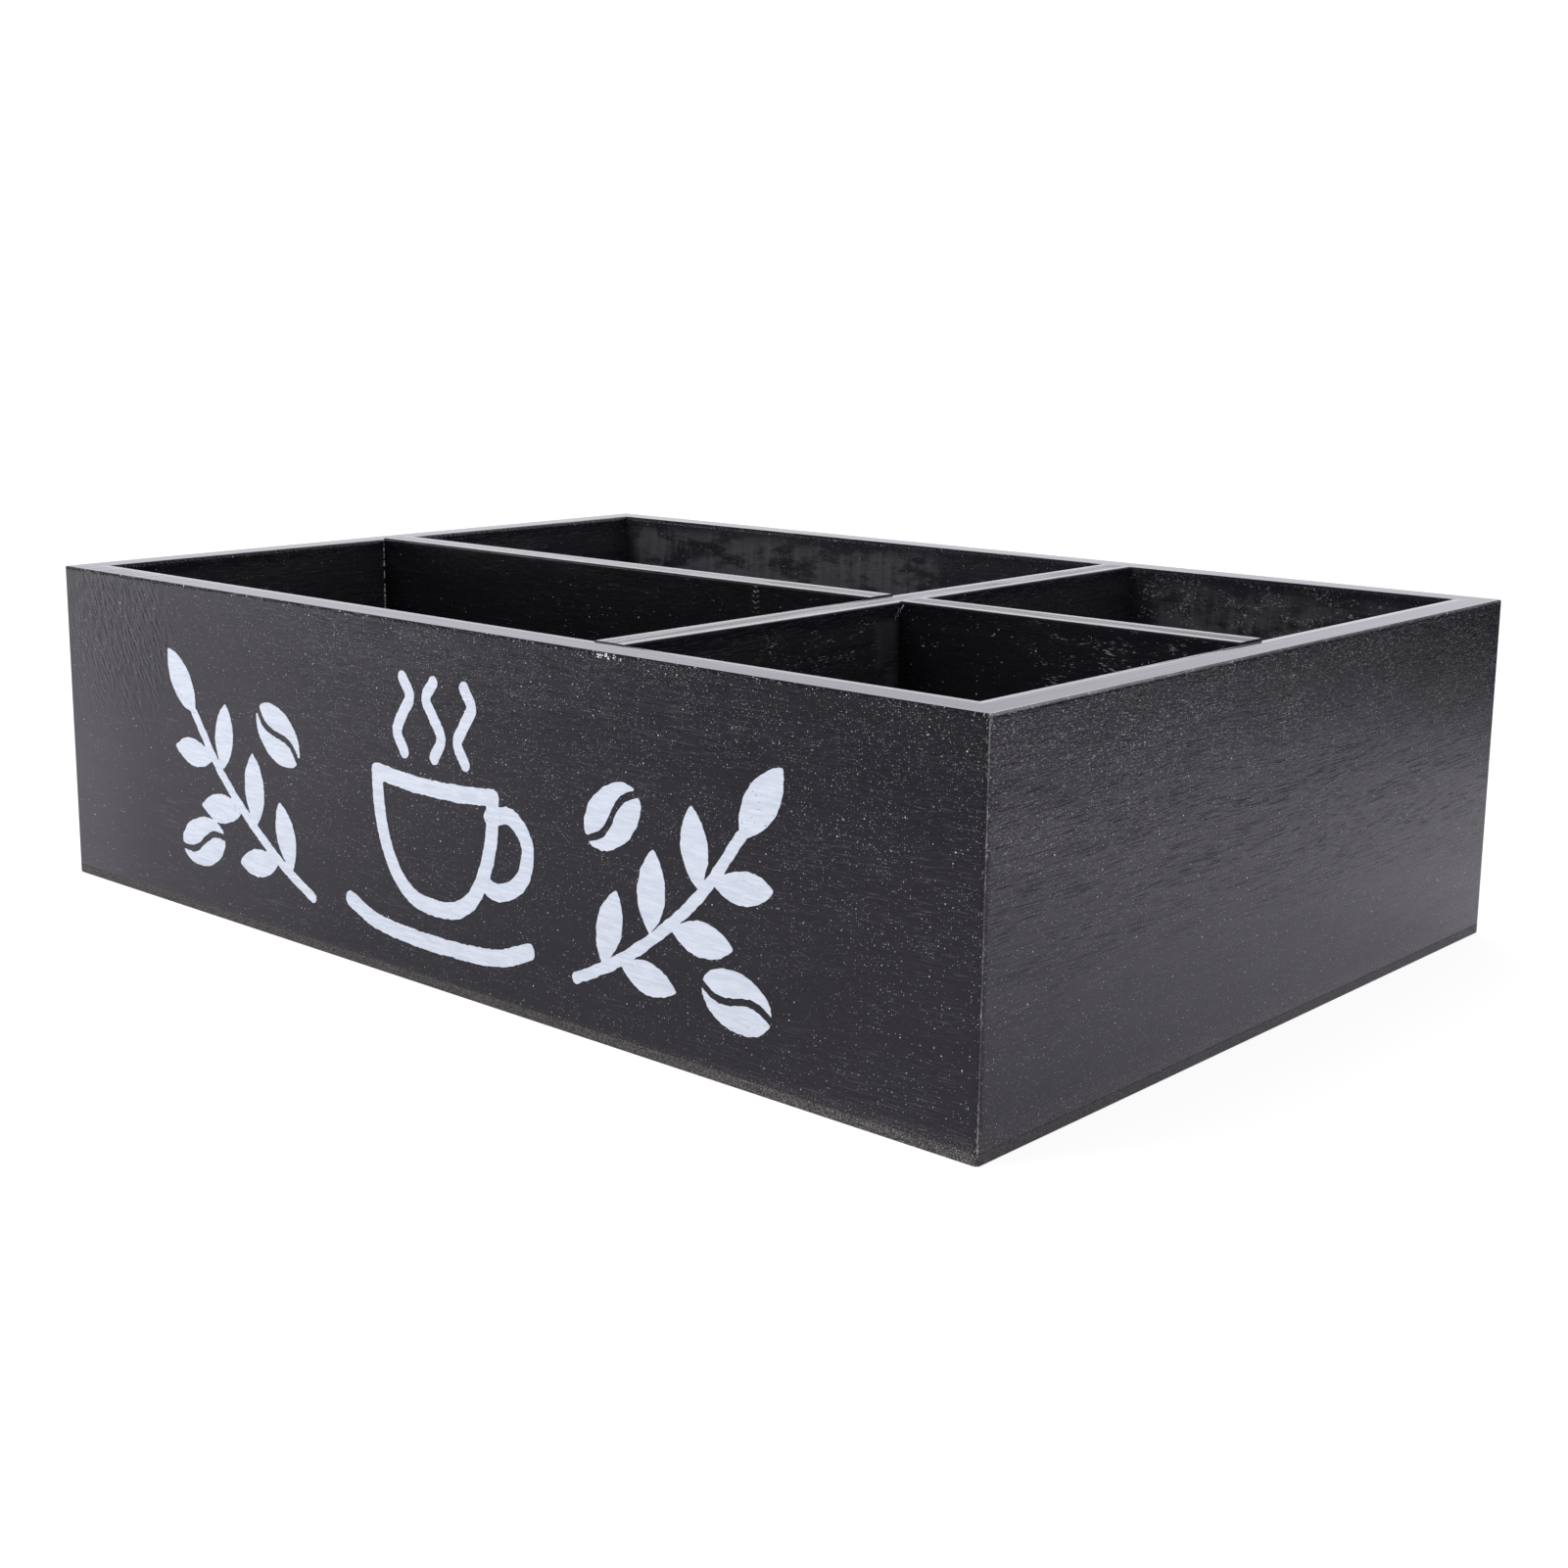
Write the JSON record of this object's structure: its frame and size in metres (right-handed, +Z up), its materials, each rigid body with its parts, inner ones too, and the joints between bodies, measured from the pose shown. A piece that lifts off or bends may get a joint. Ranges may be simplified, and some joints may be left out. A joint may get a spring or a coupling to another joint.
{
  "type": "coffee station organizer",
  "caption": "Open-topped rectangular wooden box on a thin base, parted by two crossed dividers into large and small compartments for coffee supplies.",
  "frame": {"origin": "centre of the underside, on the surface that the box stands on", "axes": "+X to the right along the front, +Y from the front to the back, +Z up"},
  "size_m": [0.303, 0.21, 0.0845],
  "materials": {
    "wall_paint": "satin black paint rubbed thin over visible fine grain, with pale rubbed edges",
    "divider_paint": "thin satin black paint with grey scuffs and dusty streaks along the grain",
    "base_paint": "matt black stain on fibreboard, brownish and rough along its edge",
    "brad_steel": "bright galvanised",
    "staple_steel": "bright galvanised",
    "white_paint": "thin cool white paint with rough brushed edges, on the wood of the front"
  },
  "bodies": {
    "root": {"front_panel": "wall_paint", "back_panel": "wall_paint", "left_panel": "wall_paint", "right_panel": "wall_paint", "cross_divider": "divider_paint", "long_divider": "divider_paint", "base_board": "base_paint", "corner_brads": "brad_steel", "divider_brads": "brad_steel", "base_staples": "staple_steel"}
  },
  "joints": []
}
